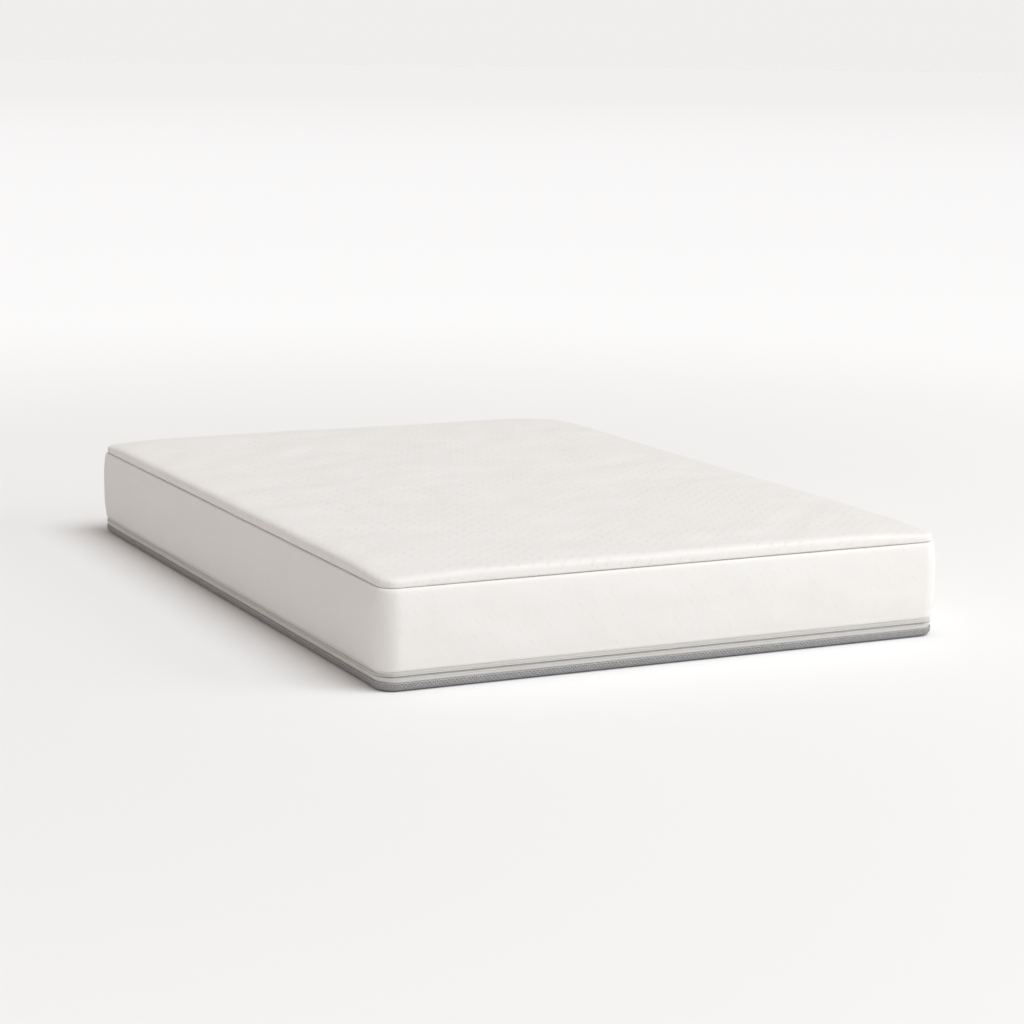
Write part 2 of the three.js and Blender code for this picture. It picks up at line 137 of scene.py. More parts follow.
class Profile:
    """A smooth line through (depth, height) points in millimetres, with the walk along it."""

    STEPS = 6  # between two points

    def __init__(self, points):
        points = np.array(points, float) * MM
        knots = walk_along(points)
        fine = np.concatenate(
            [np.linspace(a, b, self.STEPS, endpoint=False) for a, b in zip(knots, knots[1:])] + [knots[-1:]]
        )
        line = smooth_interp(knots, points, fine)
        self.walk = walk_along(line)
        self.depth, self.height = line.T
        inward = np.argmin(self.depth)
        self.tail_depth, self.tail_height = self.depth[inward:], self.height[inward:]
        self.corner_walk = float(np.interp(CORNER_RADIUS, self.tail_depth, self.walk[inward:]))

    def at(self, walk):
        return np.interp(walk, self.walk, self.depth), np.interp(walk, self.walk, self.height)


def walk_along(points):
    return np.concatenate([[0], np.cumsum(np.linalg.norm(np.diff(points, axis=0), axis=1))])


# ---- Panels: nets laid over the whole plan ----


def panel_lines(half, corner_walk, edge_step, flat_step):
    """Where a panel's lines run: real places over the flat part, and walked distance past it."""
    flat = half - CORNER_RADIUS
    edge = flat + np.linspace(0, corner_walk, round(corner_walk / edge_step) + 1)[1:]
    middle = np.linspace(-flat, flat, round(2 * flat / flat_step) + 1)
    return np.concatenate([-edge[::-1], middle, edge])


class Panel:
    """A net of points over the plan that follows one profile in from all four sides."""

    def __init__(self, profile, edge_step, flat_step, base=0.0, facing=1, sag=0.0):
        self.profile, self.base, self.facing, self.sag = profile, base, facing, sag
        self.xs = panel_lines(WIDTH / 2, profile.corner_walk, edge_step, flat_step)
        self.ys = panel_lines(LENGTH / 2, profile.corner_walk, edge_step, flat_step)
        self.places = np.stack(np.meshgrid(self.xs, self.ys, indexing="ij"), axis=-1)
        self.points = self.lay()

    def lay(self):
        along = np.abs(self.places)
        flat = np.array([FLAT_X, FLAT_Y])
        past = np.maximum(along - flat, 0)
        reach, least = past.max(-1), past.min(-1)
        turn = np.pi / 4 * least / np.maximum(reach, 1e-9)
        turn = np.where(past[..., 0] >= past[..., 1], turn, np.pi / 2 - turn)
        self.from_seam = self.profile.corner_walk - reach
        self.along_seam = np.where(past[..., 0] >= past[..., 1], self.places[..., 1], self.places[..., 0])
        depth, height = self.profile.at(self.from_seam)
        inset = np.where(reach > 0, np.maximum(depth - CORNER_RADIUS + TIGHTEST_CORNER, 0), 0)
        radius = np.where(reach > 0, CORNER_RADIUS - depth + inset, 0)
        kept = np.minimum(along, flat) * (1 - inset[..., None] / flat)
        outward = np.stack([np.cos(turn), np.sin(turn)], axis=-1) * radius[..., None]
        plan = np.where(self.places < 0, -1, 1) * (kept + outward)
        # Over the flat part the height falls towards both sides at once, so corners lie lowest.
        inside = np.array([WIDTH, LENGTH]) / 2 - along
        near, far = inside.min(-1), np.maximum(inside.max(-1), CORNER_RADIUS)
        tail = self.profile.tail_depth, self.profile.tail_height
        highest = tail[1][-1]
        height = np.where(reach > 0, height, np.interp(near, *tail))
        drop = highest - np.interp(far, *tail)
        height = height - drop * smoothstep(CROWN_LOW, CROWN_HIGH, height / max(highest, MM))
        from_corner = np.linalg.norm(np.array([WIDTH, LENGTH]) / 2 - np.abs(plan), axis=-1)
        softness = smoothstep(CORNER_FIRM, CORNER_SOFT, from_corner)
        height = height - self.sag * softness * height / max(highest, MM)
        return np.concatenate([plan, self.base + self.facing * height[..., None]], axis=-1)

    def read(self, coarse, moves):
        """The moves of a coarser panel's points, read at this panel's points."""
        across = smooth_interp(coarse.xs, moves, self.xs)
        return smooth_interp(coarse.ys, across.swapaxes(0, 1), self.ys).swapaxes(0, 1)


def net_normals(points, closed=False):
    if closed:
        padded = np.concatenate([points[:, -1:], points, points[:, :1]], axis=1)
        along = np.gradient(padded, axis=1)[:, 1:-1]
    else:
        along = np.gradient(points, axis=1)
    normals = np.cross(np.gradient(points, axis=0), along)
    return normals / np.maximum(np.linalg.norm(normals, axis=-1, keepdims=True), 1e-12)


# ---- Bands: profiles swept round the plan outline ----


class Outline:
    """The way round the plan outline, anticlockwise from start_x on the head end."""

    def __init__(self, start_x):
        arc = CORNER_RADIUS * math.pi / 2
        quarter = math.pi / 2
        corners = [(-FLAT_X, FLAT_Y), (-FLAT_X, -FLAT_Y), (FLAT_X, -FLAT_Y), (FLAT_X, FLAT_Y)]
        knots = [(0.0, start_x, FLAT_Y, quarter)]
        for turn, (x, y) in enumerate(corners, start=1):
            run = knots[-1][0] + abs(x - knots[-1][1]) + abs(y - knots[-1][2])
            knots += [(run, x, y, turn * quarter), (run + arc, x, y, (turn + 1) * quarter)]
        knots.append((knots[-1][0] + FLAT_X - start_x, start_x, FLAT_Y, 5 * quarter))
        self.runs, self.x, self.y, self.angle = np.array(knots).T
        self.length = self.runs[-1]

    def stations(self, step, corner_step):
        """Distances round the outline, about step apart, and corner_step apart in the corners."""
        found = []
        for index, (a, b) in enumerate(zip(self.runs, self.runs[1:])):
            count = max(1, round((b - a) / (corner_step if index % 2 else step)))
            found.append(np.linspace(a, b, count, endpoint=False))
        return np.concatenate(found)

    def frames(self, runs):
        """The point that each place turns about, and its outward direction."""
        angle = np.interp(runs, self.runs, self.angle)
        turns_about = np.stack([np.interp(runs, self.runs, self.x), np.interp(runs, self.runs, self.y)], -1)
        return turns_about, np.stack([np.cos(angle), np.sin(angle)], -1)

    def sweep(self, depth, height, runs):
        """The net of a profile swept along runs: one row of points for each profile point."""
        turns_about, outward = self.frames(runs)
        inset = np.maximum(depth - CORNER_RADIUS + TIGHTEST_CORNER, 0)[:, None, None]
        radius = CORNER_RADIUS - depth[:, None, None] + inset
        plan = turns_about * (1 - inset / np.array([FLAT_X, FLAT_Y])) + radius * outward
        heights = np.broadcast_to(height[:, None, None], plan.shape[:2] + (1,))
        return np.concatenate([plan, heights], axis=-1)


# ---- Pieces: meshes made from nets ----


class Skin:
    """The points, faces and fabric places of a piece while it is being made."""

    def __init__(self):
        self.points, self.faces, self.corner_places, self.facts = [], [], [], {}
        self.count = 0

    def add(self, net, places, closed=(False, False), **facts):
        """Adds a net with its faces. A net closed along its rows has one more column of places."""
        rows, columns = net.shape[:2]
        index = np.arange(rows * columns).reshape(rows, columns) + self.count
        wrapped = np.pad(index, ((0, closed[0]), (0, closed[1])), mode="wrap")
        places = np.pad(places, ((0, wrapped.shape[0] - places.shape[0]), (0, 0), (0, 0)), mode="edge")
        around = [(slice(0, -1), slice(0, -1)), (slice(1, None), slice(0, -1))]
        around += [(slice(1, None), slice(1, None)), (slice(0, -1), slice(1, None))]
        self.faces.append(np.stack([wrapped[a] for a in around], axis=-1).reshape(-1, 4))
        self.corner_places.append(np.stack([places[a] for a in around], axis=2).reshape(-1, 2))
        self.points.append(net.reshape(-1, 3))
        self.count += rows * columns
        for name, values in facts.items():
            self.facts.setdefault(name, []).append(values.reshape(-1))
        return index

    def bridge(self, first, second):
        """Faces between two rings of points, given by their numbers."""
        after_first, after_second = np.roll(first, -1), np.roll(second, -1)
        self.faces.append(np.stack([first, after_first, after_second, second], axis=-1))
        self.corner_places.append(np.zeros((4 * len(first), 2)))

    def make(self, name, material, slot, body=MATTRESS, replaces=()):
        mesh = bpy.data.meshes.new(name)
        faces = [face for block in self.faces for face in block.tolist()]
        mesh.from_pydata(np.concatenate(self.points).tolist(), [], faces)
        layer = mesh.uv_layers.new(name="fabric")
        layer.data.foreach_set("uv", np.concatenate(self.corner_places).astype(np.float32).ravel())
        for fact, values in self.facts.items():
            attribute = mesh.attributes.new(fact, "FLOAT", "POINT")
            attribute.data.foreach_set("value", np.concatenate(values).astype(np.float32))
        mesh.polygons.foreach_set("use_smooth", np.ones(len(mesh.polygons), bool))
        mesh.materials.append(material)
        form = bmesh.new()
        form.from_mesh(mesh)
        bmesh.ops.remove_doubles(form, verts=form.verts, dist=WELD)
        bmesh.ops.recalc_face_normals(form, faces=form.faces)
        form.to_mesh(mesh)
        form.free()
        piece = bpy.data.objects.new(name, mesh)
        bpy.context.scene.collection.objects.link(piece)
        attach(piece, body)
        if replaces:
            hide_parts(*replaces)
        return piece


def rim(index):
    """The numbers of a net's outer points, anticlockwise seen from above."""
    return np.concatenate([index[:-1, 0], index[-1, :-1], index[:0:-1, -1], index[0, :0:-1]])


def panel_shell(name, panel, points, thickness, **making):
    """A sheet of one thickness over the plan, with its outer face at points."""
    inward = -panel.facing * net_normals(points)
    skin = Skin()
    facts = {"from_seam": panel.from_seam, "along_seam": panel.along_seam}
    outer = skin.add(points, panel.places, **facts)
    inner = skin.add(points + inward * thickness, panel.places, **facts)
    skin.bridge(rim(outer), rim(inner))
    return skin.make(name, **making)


# ---- Cloth: how a cover settles on its filling ----

CLOTH_FRAMES = 20
RIPPLE = 0.2 * MM  # unevenness that the folds start from
MOST_INWARD = 0.8 * MM  # the filling behind holds the cloth out
TOP_MOST, BORDER_MOST = 2.5 * MM, 3 * MM  # how far a point of each may move


def soft_noise(shape, cell, seed):
    """Smooth random values from 0 to 1 over a net, with bumps about cell points across."""
    knots = [max(4, round(count / cell)) for count in shape]
    values = np.random.default_rng(seed).random(knots)
    for count, known in zip(shape, knots):
        values = smooth_interp(np.linspace(0, 1, known), values, np.linspace(0, 1, count)).swapaxes(0, 1)
    return np.clip(values, 0, 1)


def softened(moves, closed, times=2):
    """The same moves, evened out with their neighbours'."""
    for _ in range(times):
        moves = np.pad(moves, ((1, 1), (0, 0), (0, 0)), mode="edge")
        moves = (moves[:-2] + 2 * moves[1:-1] + moves[2:]) / 4
        moves = np.pad(moves, ((0, 0), (1, 1), (0, 0)), mode="wrap" if closed else "edge")
        moves = (moves[:, :-2] + 2 * moves[:, 1:-1] + moves[:, 2:]) / 4
    return moves


def settle(name, points, hold, slack, most, seed, closed=False):
    """How far each point of a net moves as its cloth settles. hold is 1 where it is sewn down and
    less where only the filling holds it, slack is the share by which the cloth is cut large, and
    most is how far a point may move."""
    normals = net_normals(points, closed)
    uneven = RIPPLE * (soft_noise(points.shape[:2], 3, seed)[..., None] - 0.5)
    skin = Skin()
    places = np.zeros((points.shape[0], points.shape[1] + closed, 2))
    skin.add(points + uneven * normals, places, closed=(False, closed))
    mesh = bpy.data.meshes.new(name)
    mesh.from_pydata(np.concatenate(skin.points).tolist(), [], np.concatenate(skin.faces).tolist())
    cloth = bpy.data.objects.new(name, mesh)
    bpy.context.scene.collection.objects.link(cloth)
    for group, weights in (("hold", hold), ("slack", slack / slack.max())):
        members = cloth.vertex_groups.new(name=group)
        for index, weight in enumerate(weights.ravel().tolist()):
            members.add([index], weight, "REPLACE")
    modifier = cloth.modifiers.new("cloth", "CLOTH")
    settings = modifier.settings
    settings.quality = 6
    settings.mass = 0.02
    settings.tension_stiffness = settings.compression_stiffness = 20
    settings.shear_stiffness = 12
    settings.bending_stiffness = 30
    settings.air_damping = 1
    settings.vertex_group_mass = "hold"
    settings.vertex_group_shrink = "slack"
    settings.shrink_min, settings.shrink_max = 0, -float(slack.max())
    settings.use_pressure = True
    settings.uniform_pressure_force = 0.3
    settings.effector_weights.gravity = 0
    modifier.collision_settings.use_collision = False
    scene = bpy.context.scene
    for number in range(1, CLOTH_FRAMES + 1):
        scene.frame_set(number)
    settled = cloth.evaluated_get(bpy.context.evaluated_depsgraph_get()).to_mesh()
    moved = np.empty(len(settled.vertices) * 3, np.float32)
    settled.vertices.foreach_get("co", moved)
    scene.frame_set(1)
    bpy.data.objects.remove(cloth)
    bpy.data.meshes.remove(mesh)
    moves = softened(moved.reshape(points.shape).astype(float) - points, closed)
    length = np.linalg.norm(moves, axis=-1, keepdims=True)
    moves = moves * np.minimum(1, most / np.maximum(length, 1e-9))
    inward = np.minimum((moves * normals).sum(-1, keepdims=True), 0)
    return moves + normals * (np.maximum(inward, -MOST_INWARD) - inward)


# ---- Materials ----


class Finish:
    """A procedural material: a Principled surface and short names for the nodes that feed it."""

    def __init__(self, name, **sockets):
        self.material = bpy.data.materials.new(name)
        self.material.use_nodes = True
        self.nodes, self.links = self.material.node_tree.nodes, self.material.node_tree.links
        self.surface = self.nodes["Principled BSDF"]
        for socket, value in sockets.items():
            self.surface.inputs[socket.replace("_", " ")].default_value = value
        self.height = None

    def node(self, kind, inputs=(), **settings):
        made = self.nodes.new("ShaderNode" + kind)
        for setting, value in settings.items():
            setattr(made, setting, value)
        for socket, value in dict(inputs).items():
            self.feed(made.inputs[socket], value)
        return made

    def feed(self, socket, value):
        if isinstance(value, bpy.types.NodeSocket):
            self.links.new(value, socket)
        else:
            socket.default_value = value

    def math(self, operation, first, second=0.0, third=0.0):
        return self.node("Math", {0: first, 1: second, 2: third}, operation=operation).outputs[0]

    def times(self, first, second):
        return self.math("MULTIPLY", first, second)

    def minus(self, first, second):
        return self.math("SUBTRACT", first, second)

    def fabric(self):
        """Places on the cloth, in metres along its two directions."""
        split = self.node("SeparateXYZ", {0: self.node("UVMap", uv_map="fabric").outputs[0]})
        return split.outputs[0], split.outputs[1]

    def solid(self):
        """Places in the piece, in metres."""
        return self.node("TexCoord").outputs["Object"]

    def fact(self, name):
        return self.node("Attribute", attribute_name=name).outputs["Fac"]

    def noise(self, scale, detail=3.0, roughness=0.5, places=None):
        inputs = {"Scale": scale, "Detail": detail, "Roughness": roughness}
        inputs["Vector"] = places or self.solid()
        return self.node("TexNoise", inputs).outputs["Fac"]

    def cells(self, scale):
        return self.node("TexVoronoi", {"Vector": self.solid(), "Scale": scale}).outputs["Distance"]

    def between(self, value, low, high, to_low=0.0, to_high=1.0):
        inputs = {"Value": value, "From Min": low, "From Max": high, "To Min": to_low, "To Max": to_high}
        return self.node("MapRange", inputs, interpolation_type="SMOOTHSTEP").outputs[0]

    def wave(self, place, pitch, phase=0.0):
        """A sine wave from -1 to 1."""
        return self.math("SINE", self.math("MULTIPLY_ADD", place, math.tau / pitch, phase))

    def lifted(self, wave):
        """The same wave from 0 to 1."""
        return self.math("MULTIPLY_ADD", wave, 0.5, 0.5)

    def raise_by(self, value, distance, strength=1.0):
        """Adds one layer of relief: value from 0 to 1 stands distance metres high."""
        inputs = {"Height": value, "Distance": distance, "Strength": strength}
        if self.height is not None:
            inputs["Normal"] = self.height
        self.height = self.node("Bump", inputs).outputs[0]
        self.links.new(self.height, self.surface.inputs["Normal"])

    def colour(self, *layers):
        """The first colour, then (share, colour) layers mixed over it one by one."""
        mixed = (*layers[0], 1.0)
        for share, over in layers[1:]:
            mix = self.node("Mix", data_type="RGBA")
            self.feed(mix.inputs["Factor"], share)
            self.feed(mix.inputs[6], mixed)
            self.feed(mix.inputs[7], (*over, 1.0))
            mixed = mix.outputs[2]
        self.feed(self.surface.inputs["Base Color"], mixed)

    def roughness(self, value, low, high):
        self.feed(self.surface.inputs["Roughness"], self.between(value, 0.0, 1.0, low, high))


STITCH_WIDTH, STITCH_HEIGHT = 2.6 * MM, 2.2 * MM
FIGURE_SPACING, FIGURE_PITCH, FIGURE_RELIEF = 26 * MM, 46 * MM, 0.3 * MM
PUCKER_PITCH = 12 * MM
# The second colour is a random darker tone and also the painted shade between the stitches.
KNIT_COLOUR, KNIT_TONE_AND_STITCH_SHADE, KNIT_FIGURE = (0.88, 0.872, 0.855), (0.83, 0.82, 0.80), (0.81, 0.80, 0.78)
DIAGONAL = 0.707


def knit_finish(name, figure):
    """Double-knit ticking with fine stitches and small slanting figures, as strong as figure."""
    finish = Finish(name, Sheen_Weight=0.2, Sheen_Roughness=0.5, Specular_IOR_Level=0.25)
    across, along = finish.fabric()
    # Fine stitches: columns of small Vs.
    column = finish.wave(across, STITCH_WIDTH)
    slant = finish.times(finish.math("ABSOLUTE", column), 1.6)
    course = finish.wave(along, STITCH_HEIGHT, slant)
    stitches = finish.lifted(course)
    # Slanting figures, each row set half a figure along from the last.
    slanting = finish.times(across, DIAGONAL), finish.times(along, DIAGONAL)
    down, side = finish.math("ADD", *slanting), finish.minus(*slanting)
    row = finish.math("FLOOR", finish.math("DIVIDE", side, FIGURE_SPACING))
    width = finish.math("ABSOLUTE", finish.wave(side, 2 * FIGURE_SPACING))
    length = finish.wave(down, FIGURE_PITCH, finish.times(row, math.pi))
    shape = finish.times(finish.between(width, 0.86, 1.0), finish.between(length, -0.1, 0.7))
    patchy = finish.between(finish.noise(9.0, 2.0), 0.35, 0.65, 0.35, 1.0)
    figures = finish.times(shape, patchy)
    # Little puckers that the stitches of the top seam draw in.
    seam = finish.between(finish.fact("from_seam"), 10 * MM, 34 * MM, 1.0, 0.0)
    pucker = finish.lifted(finish.wave(finish.fact("along_seam"), PUCKER_PITCH))
    uneven = finish.noise(26.0, 4.0)
    finish.raise_by(uneven, 0.8 * MM)
    finish.raise_by(figures, FIGURE_RELIEF * figure)
    finish.raise_by(finish.times(pucker, seam), 0.08 * MM)
    finish.raise_by(stitches, 0.12 * MM)
    worn = finish.between(finish.noise(5.0, 5.0), 0.3, 0.7)
    # The worn noise darkens the knit at random; the low courses between the stitches are painted darker:
    # painted shade in the knit's hollows.
    finish.colour(KNIT_COLOUR, (finish.times(worn, 0.28), KNIT_TONE_AND_STITCH_SHADE),
                  (finish.times(figures, 0.25 * figure), KNIT_FIGURE),
                  (finish.times(finish.minus(1.0, stitches), 0.18), KNIT_TONE_AND_STITCH_SHADE))
    finish.roughness(finish.minus(uneven, finish.times(figures, 0.3)), 0.72, 0.98)
    return finish.material


def fibre_finish():
    """Loose polyester wadding."""
    finish = Finish("wadding_fibres", Sheen_Weight=0.4, Sheen_Roughness=0.6)
    fibres = finish.noise(420.0, 6.0, 0.75)
    clumps = finish.noise(22.0, 4.0)
    finish.raise_by(clumps, 3 * MM)
    finish.raise_by(fibres, 0.8 * MM)
    finish.colour((0.9, 0.895, 0.885), (finish.between(fibres, 0.35, 0.65), (0.8, 0.8, 0.79)))
    finish.roughness(fibres, 0.85, 1.0)
    return finish.material


def bonded_finish(name, base, shade, spacing):
    """A thin bonded fabric with a grid of pressed points."""
    finish = Finish(name, Specular_IOR_Level=0.3)
    across, along = finish.fabric()
    grid = finish.times(finish.wave(across, spacing), finish.wave(along, spacing))
    pressed = finish.between(grid, 0.5, 0.9)
    fibres = finish.noise(300.0, 5.0, 0.7)
    finish.raise_by(fibres, 0.25 * MM)
    finish.raise_by(finish.minus(1.0, pressed), 0.3 * MM)
    finish.colour(base, (finish.times(pressed, 0.7), shade), (finish.between(fibres, 0.4, 0.8), shade))
    finish.roughness(fibres, 0.7, 0.95)
    return finish.material


def thread_finish():
    """Twisted polyester sewing thread."""
    finish = Finish("sewing_thread", Sheen_Weight=0.15, Specular_IOR_Level=0.5)
    twist = finish.wave(finish.fabric()[0], 1.1 * MM)
    strands = finish.lifted(twist)
    finish.raise_by(strands, 0.15 * MM)
    finish.colour((0.84, 0.83, 0.805), (finish.times(strands, 0.6), (0.74, 0.73, 0.705)))
    finish.roughness(strands, 0.45, 0.65)
    return finish.material


def tape_finish():
    """Woven zip tape: fine herringbone with firmer lines beside the chain."""
    finish = Finish("woven_tape", Sheen_Weight=0.1, Specular_IOR_Level=0.35)
    across, along = finish.fabric()
    zigzag = finish.times(finish.math("ABSOLUTE", finish.wave(along, 6 * MM)), 2.2)
    weave = finish.lifted(finish.wave(across, 1.5 * MM, zigzag))
    soil = finish.noise(60.0, 4.0)
    finish.raise_by(weave, 0.18 * MM)
    finish.colour((0.85, 0.845, 0.83), (finish.times(weave, 0.4), (0.74, 0.735, 0.72)),
                  (finish.times(soil, 0.2), (0.78, 0.77, 0.74)))
    finish.roughness(weave, 0.7, 0.9)
    return finish.material


def nylon_finish():
    """Moulded nylon teeth."""
    finish = Finish("zip_nylon", Specular_IOR_Level=0.5, IOR=1.53)
    flow = finish.noise(180.0, 3.0)
    finish.raise_by(flow, 0.08 * MM)
    finish.colour((0.83, 0.825, 0.81), (finish.between(flow, 0.4, 0.7), (0.77, 0.765, 0.75)))
    finish.roughness(flow, 0.28, 0.5)
    return finish.material


BRUSHING = 120.0, 900.0, 2600.0  # noise per metre along the zip, into it and up


def metal_finish():
    """Nickel-plated zinc, lightly brushed along the zip and scuffed."""
    finish = Finish("nickel_plate", Metallic=1.0)
    stretched = finish.node("Mapping", {"Vector": finish.solid(), "Scale": BRUSHING}).outputs[0]
    brushed = finish.noise(1.0, 4.0, 0.6, stretched)
    scuffs = finish.between(finish.noise(700.0, 6.0, 0.7), 0.5, 0.75)
    finish.raise_by(brushed, 0.02 * MM)
    finish.raise_by(finish.minus(1.0, scuffs), 0.03 * MM)
    finish.colour((0.66, 0.66, 0.65), (finish.times(scuffs, 0.5), (0.5, 0.495, 0.48)))
    finish.roughness(finish.math("ADD", brushed, finish.times(scuffs, 0.4)), 0.18, 0.5)
    return finish.material


GRIP_PITCH = 18 * MM


def grip_finish():
    """Grey woven base fabric printed with rows of soft rubber dots."""
    finish = Finish("grip_fabric", Specular_IOR_Level=0.35, Sheen_Weight=0.1)
    across, along = finish.fabric()
    weave = finish.times(finish.wave(across, 1.8 * MM), finish.wave(along, 1.8 * MM))
    threads = finish.lifted(weave)
    diagonals = finish.math("ADD", across, along), finish.minus(across, along)
    lattice = finish.times(*[finish.math("ABSOLUTE", finish.wave(line, GRIP_PITCH)) for line in diagonals])
    dots = finish.between(lattice, 0.55, 0.7)
    speckle = finish.noise(240.0, 4.0)
    finish.raise_by(threads, 0.25 * MM)
    finish.raise_by(dots, 0.6 * MM)
    finish.colour((0.42, 0.42, 0.43), (finish.between(speckle, 0.4, 0.6), (0.34, 0.34, 0.35)),
                  (dots, (0.2, 0.2, 0.21)))
    finish.roughness(finish.minus(threads, dots), 0.5, 0.95)
    return finish.material


def sock_finish():
    """Fine ribbed tube knit."""
    finish = Finish("sock_ribs", Sheen_Weight=0.3, Specular_IOR_Level=0.25)
    across, along = finish.fabric()
    ribs = finish.lifted(finish.wave(across, 4 * MM))
    loops = finish.lifted(finish.wave(along, 2 * MM))
    fuzz = finish.noise(260.0, 4.0)
    finish.raise_by(ribs, 0.5 * MM)
    finish.raise_by(loops, 0.2 * MM)
    finish.colour((0.87, 0.86, 0.835), (finish.times(ribs, 0.4), (0.8, 0.79, 0.765)),
                  (finish.times(fuzz, 0.25), (0.78, 0.77, 0.74)))
    finish.roughness(fuzz, 0.8, 1.0)
    return finish.material


def foam_finish(name, base, shade, cell):
    """Cut polyurethane foam with open cells about cell metres across."""
    finish = Finish(name, Subsurface_Weight=0.05, Specular_IOR_Level=0.3)
    pores = finish.between(finish.cells(1 / cell), 0.1, 0.6)
    skin = finish.noise(14.0, 4.0)
    finish.raise_by(skin, 0.8 * MM)
    finish.raise_by(pores, 0.6 * cell)
    # The pits of the open cells are painted darker with the shade colour: painted shade in the pores. The
    # skin noise darkens the foam at random.
    finish.colour(base, (finish.minus(1.0, pores), shade), (finish.times(skin, 0.25), shade))
    finish.roughness(pores, 0.98, 0.8)
    return finish.material


# ---- Cover ----

EDGE_STEP, FLAT_STEP = 3 * MM, 10 * MM
COARSE_EDGE_STEP, COARSE_FLAT_STEP = 10 * MM, 20 * MM
SEWN = 8 * MM  # walked from a turned edge, where the cloth can't move
FILLING_HOLD = 0.2
JOINT_DEPTH, JOINT_WIDTH = 1.6 * MM, 1.8 * MM  # the groove where the strip's ends are joined
FILLING_BACK = 19 * MM  # depth of the border filling's inner side
FILLING_SPACE = 1.2 * MM  # between the border's knit and its filling
TOP_SLACK, TOP_EDGE_SLACK = 0.006, 0.02  # the second is added towards the roll
BORDER_SLACK, BORDER_LOW_SLACK = 0.008, 0.022  # the second is added, unevenly, towards the hem


def filling_hold(shape, cell, seed):
    """How firmly the filling holds each point of a cloth, unevenly."""
    return FILLING_HOLD * (0.6 + 0.8 * soft_noise(shape, cell, seed))


def top_cover(knit):
    """The knitted top: soft over its filling, rolled at its edge and turned in at the seam."""
    profile = Profile(TOP_PROFILE)
    coarse = Panel(profile, COARSE_EDGE_STEP, COARSE_FLAT_STEP, base=PANEL_EDGE, sag=CORNER_SAG)
    shape = coarse.points.shape[:2]
    hold = filling_hold(shape, 6, seed=3)
    hold[coarse.from_seam < SEWN] = 1
    slack = TOP_SLACK + TOP_EDGE_SLACK * smoothstep(120 * MM, 20 * MM, coarse.from_seam)
    moves = settle("top_cloth", coarse.points, hold, slack, most=TOP_MOST, seed=7)
    panel = Panel(profile, EDGE_STEP, FLAT_STEP, base=PANEL_EDGE, sag=CORNER_SAG)
    points = panel.points + panel.read(coarse, moves)
    piece = panel_shell("top_panel_cover", panel, points, KNIT_THICKNESS, material=knit,
                        slot="cover_knit", replaces=["top_panel_knit"])
    return piece


CLOTH_STEPS, BORDER_STEPS = (14 * MM, 9 * MM), (8 * MM, 5 * MM)  # along the sides, in the corners
CLOTH_ROWS, BORDER_ROWS = 18, 36
CROWDING = 0.14  # how much closer the rows lie at both edges
BESIDE_JOINT = np.array([1, 2.2, 4]) * MM


def border_profile():
    """Down the border from its edge in the seam: it swells out between seam and hem."""
    top, foot = BORDER_TOP / MM, BORDER_FOOT / MM
    lip = [(depth, top - down) for depth, down in BORDER_LIP]
    hem = [(depth, foot + up) for depth, up in BORDER_HEM]
    face = []
    for share in np.linspace(*BORDER_FACE):
        face.append((BORDER_INSET * abs(2 * share - 1) ** BORDER_SWELL, foot + (top - foot) * share))
    return Profile(lip + face + hem)


def around(outline, runs, moves, new_runs):
    """Moves known at runs round the outline, read at new_runs."""
    wrapped = np.concatenate([runs[-4:] - outline.length, runs, runs[:4] + outline.length])
    padded = np.concatenate([moves[:, -4:], moves, moves[:, :4]], axis=1).swapaxes(0, 1)
    return smooth_interp(wrapped, padded, new_runs).swapaxes(0, 1)


def border_cover(knit):
    """The knitted strip round the sides, hemmed at the foot, with its ends joined at the head."""
    profile, outline = border_profile(), Outline(CLOSING_SEAM_X)
    walk = np.linspace(0, profile.walk[-1], CLOTH_ROWS)
    runs = outline.stations(*CLOTH_STEPS)
    coarse = outline.sweep(*profile.at(walk), runs)
    shape = coarse.shape[:2]
    hold = filling_hold(shape, 3, seed=5)
    hold[:2] = hold[-2:] = 1
    low = smoothstep(0.25, 0.75, walk / walk[-1])[:, None]
    slack = BORDER_SLACK + BORDER_LOW_SLACK * low * (0.4 + 0.6 * soft_noise(shape, 9, seed=11))
    moves = settle("border_cloth", coarse, hold, slack, most=BORDER_MOST, seed=8, closed=True)

    share = np.linspace(0, 1, BORDER_ROWS)
    fine_walk = profile.walk[-1] * (share - CROWDING * np.sin(2 * math.pi * share))
    fine_runs = outline.stations(*BORDER_STEPS), BESIDE_JOINT, outline.length - BESIDE_JOINT
    fine_runs = np.sort(np.concatenate(fine_runs))
    outer = outline.sweep(*profile.at(fine_walk), fine_runs)
    outer += around(outline, runs, smooth_interp(walk, moves, fine_walk), fine_runs)
    normals = net_normals(outer, closed=True)
    from_joint = np.minimum(fine_runs, outline.length - fine_runs)
    outer -= normals * (JOINT_DEPTH * np.exp(-((from_joint / JOINT_WIDTH) ** 2)))[:, None]
    inner = outer - normals * KNIT_THICKNESS

    walks = np.concatenate([fine_walk, fine_walk[::-1]])
    all_runs = np.append(fine_runs, outline.length)
    places = np.stack(np.meshgrid(all_runs, walks), axis=-1)
    skin = Skin()
    facts = {"from_seam": places[:, :-1, 1], "along_seam": places[:, :-1, 0]}
    skin.add(np.concatenate([outer, inner[::-1]]), places, closed=(True, True), **facts)
    piece = skin.make("border_cover", knit, "cover_knit", replaces=["border_knit"])
    return piece


def bottom_cover(grip):
    """The grey base fabric, turned up round the lower edge to the zip."""
    panel = Panel(Profile(BOTTOM_PROFILE), EDGE_STEP, 40 * MM, base=BOTTOM_EDGE, facing=-1)
    piece = panel_shell("bottom_cover", panel, panel.points, BOTTOM_THICKNESS, material=grip,
                        slot="base_fabric", replaces=["bottom_panel"])
    return piece


BAND_STEPS = 20 * MM, 5 * MM


